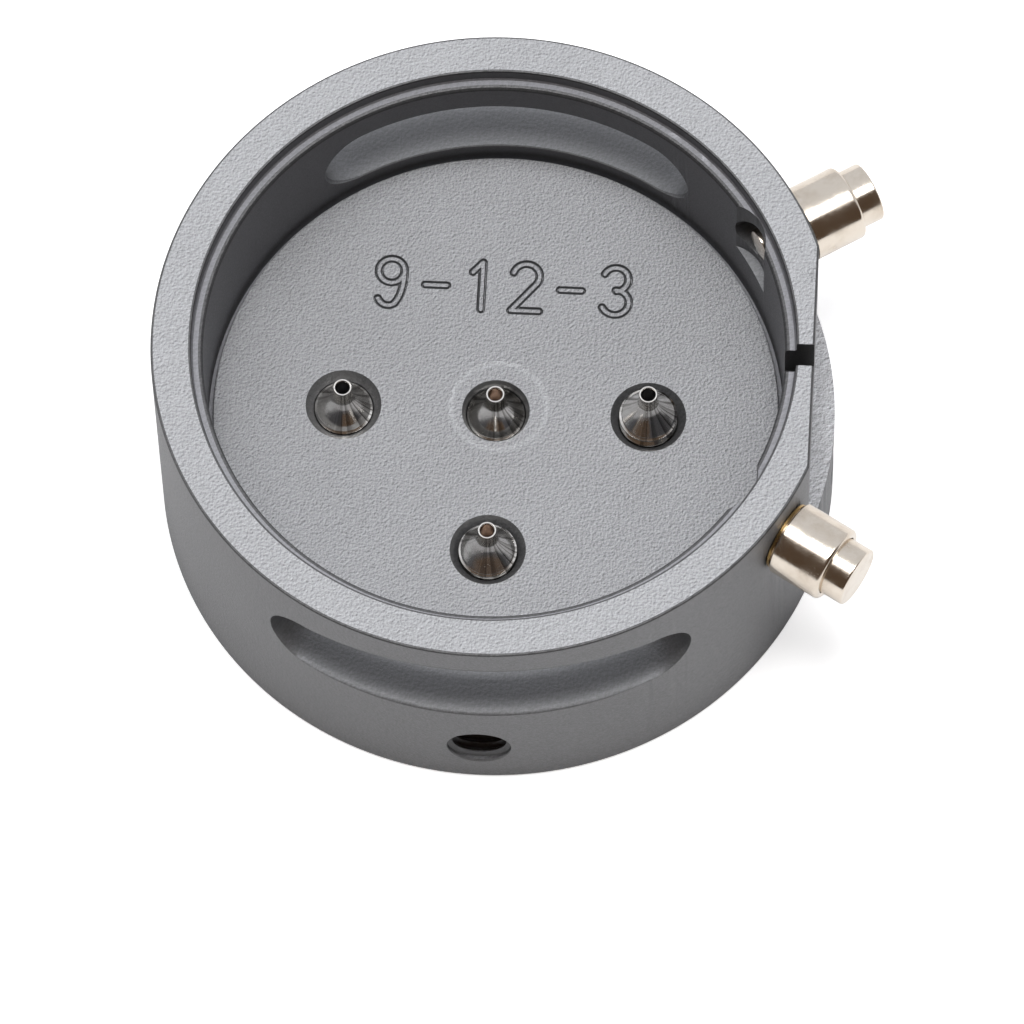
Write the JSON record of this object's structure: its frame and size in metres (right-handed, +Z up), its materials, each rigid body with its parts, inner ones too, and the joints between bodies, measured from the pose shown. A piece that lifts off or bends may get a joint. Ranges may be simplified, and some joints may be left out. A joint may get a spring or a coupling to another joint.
{
  "type": "watch movement holder",
  "caption": "Round aluminium holder with a stepped recess, hollow-tipped support posts and spring pushers, used under a hand press.",
  "frame": {"origin": "centre of the bottom face", "axes": "+Z up along the body's axis, +X to the 3 o'clock side (stem notch and flat), +Y to the 12 o'clock side"},
  "size_m": [0.0346, 0.0324, 0.0142],
  "materials": {
    "anodised_body": "matt, blasted and anodised grey",
    "bright_steel": "turned and polished steel",
    "dark_steel": "black oxide",
    "pusher_steel": "polished",
    "washer_brass": "bright",
    "gasket_rubber": "matt",
    "spring_steel": "bright wire"
  },
  "bodies": {
    "holder": {"holder_body": "anodised_body", "pusher_tube_2_oclock": "pusher_steel", "pusher_tube_4_oclock": "pusher_steel", "pusher_washer_2_oclock": "washer_brass", "pusher_washer_4_oclock": "washer_brass", "pusher_gasket_2_oclock": "gasket_rubber", "pusher_gasket_4_oclock": "gasket_rubber", "pusher_spring_2_oclock": "spring_steel", "pusher_spring_4_oclock": "spring_steel"},
    "post_center": {"support_post_center": "bright_steel"},
    "lock_center": {"lock_screw_center": "dark_steel"},
    "post_3_oclock": {"support_post_3_oclock": "bright_steel"},
    "lock_3_oclock": {"lock_screw_3_oclock": "dark_steel"},
    "post_6_oclock": {"support_post_6_oclock": "bright_steel"},
    "lock_6_oclock": {"lock_screw_6_oclock": "dark_steel"},
    "post_9_oclock": {"support_post_9_oclock": "bright_steel"},
    "lock_9_oclock": {"lock_screw_9_oclock": "dark_steel"},
    "plunger_2_oclock": {"pusher_plunger_2_oclock": "pusher_steel", "pusher_stop_nut_2_oclock": "bright_steel"},
    "plunger_4_oclock": {"pusher_plunger_4_oclock": "pusher_steel", "pusher_stop_nut_4_oclock": "bright_steel"}
  },
  "joints": [
    {"name": "post_height_center", "type": "slide", "parent": "holder", "child": "post_center", "axis": [0, 0, 1], "range_m": [-0.0008, 0.0008]},
    {"name": "post_height_3_oclock", "type": "slide", "parent": "holder", "child": "post_3_oclock", "axis": [0, 0, 1], "range_m": [-0.0008, 0.0008]},
    {"name": "post_height_6_oclock", "type": "slide", "parent": "holder", "child": "post_6_oclock", "axis": [0, 0, 1], "range_m": [-0.0008, 0.0008]},
    {"name": "post_height_9_oclock", "type": "slide", "parent": "holder", "child": "post_9_oclock", "axis": [0, 0, 1], "range_m": [-0.0008, 0.0008]},
    {"name": "lock_travel_center", "type": "slide", "parent": "holder", "child": "lock_center", "axis": [0, 1, 0], "range_m": [0, 0.0015]},
    {"name": "lock_travel_3_oclock", "type": "slide", "parent": "holder", "child": "lock_3_oclock", "axis": [1, 0, 0], "range_m": [0, 0.0015]},
    {"name": "lock_travel_6_oclock", "type": "slide", "parent": "holder", "child": "lock_6_oclock", "axis": [0, -1, 0], "range_m": [0, 0.0015]},
    {"name": "lock_travel_9_oclock", "type": "slide", "parent": "holder", "child": "lock_9_oclock", "axis": [-1, 0, 0], "range_m": [0, 0.0015]},
    {"name": "push_2_oclock", "type": "slide", "parent": "holder", "child": "plunger_2_oclock", "axis": [-0.8517, -0.524, 0], "range_m": [0, 0.001], "stiffness_N_per_m": 600, "springref_m": -0.0008, "deforming": ["pusher_spring_2_oclock"]},
    {"name": "push_4_oclock", "type": "slide", "parent": "holder", "child": "plunger_4_oclock", "axis": [-0.8599, 0.5105, 0], "range_m": [0, 0.001], "stiffness_N_per_m": 600, "springref_m": -0.0008, "deforming": ["pusher_spring_4_oclock"]}
  ]
}
